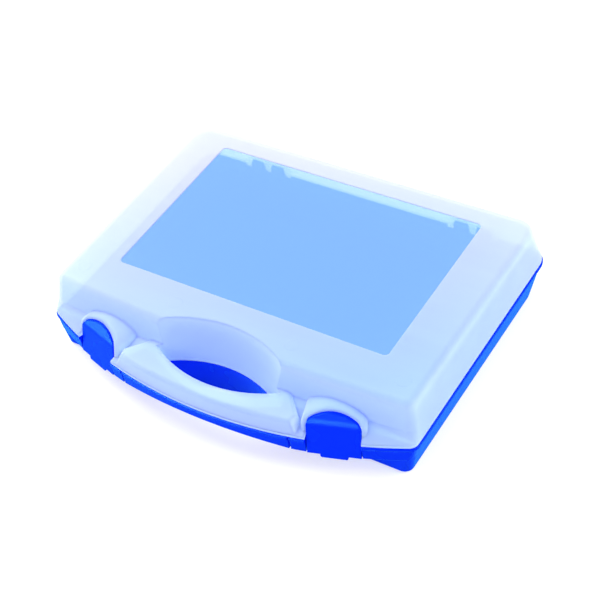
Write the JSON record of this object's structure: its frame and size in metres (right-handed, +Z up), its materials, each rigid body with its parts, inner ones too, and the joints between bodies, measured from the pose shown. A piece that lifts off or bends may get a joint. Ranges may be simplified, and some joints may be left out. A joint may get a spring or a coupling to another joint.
{
  "type": "plastic bit storage box",
  "caption": "Flat plastic carrying case for screwdriver bits with a frosted, windowed lid, a bowed grip and rocker latches; the lid swings back on pinned hinges.",
  "frame": {"origin": "middle of the underside of the closed case's overall box", "axes": "+X along the grip to the right when facing the latches, -Y to the grip at the front, +Z up through the lid"},
  "size_m": [0.25, 0.2017, 0.0506],
  "materials": {
    "tray_plastic": "moulded blue polypropylene, satin gloss",
    "lid_plastic": "natural frosted polypropylene, clear polished window",
    "latch_plastic": "moulded blue polypropylene, satin gloss",
    "pin_steel": "drawn wire"
  },
  "bodies": {
    "base": {"tray": "tray_plastic", "hinge_pin_left": "pin_steel", "hinge_pin_right": "pin_steel"},
    "lid": {"lid": "lid_plastic"},
    "latch_left": {"latch_left": "latch_plastic"},
    "latch_right": {"latch_right": "latch_plastic"}
  },
  "joints": [
    {"name": "lid_hinge", "type": "hinge", "parent": "base", "child": "lid", "pos_m": [0, 0.09765, 0.023], "axis": [-1, 0, 0], "range_deg": [0, 150]},
    {"name": "latch_left_pivot", "type": "hinge", "parent": "base", "child": "latch_left", "pos_m": [-0.08099, -0.08466, 0.0159], "axis": [0.9571, -0.2898, 0], "range_deg": [0, 110]},
    {"name": "latch_right_pivot", "type": "hinge", "parent": "base", "child": "latch_right", "pos_m": [0.08099, -0.08466, 0.0159], "axis": [0.9571, 0.2898, 0], "range_deg": [0, 110]}
  ]
}
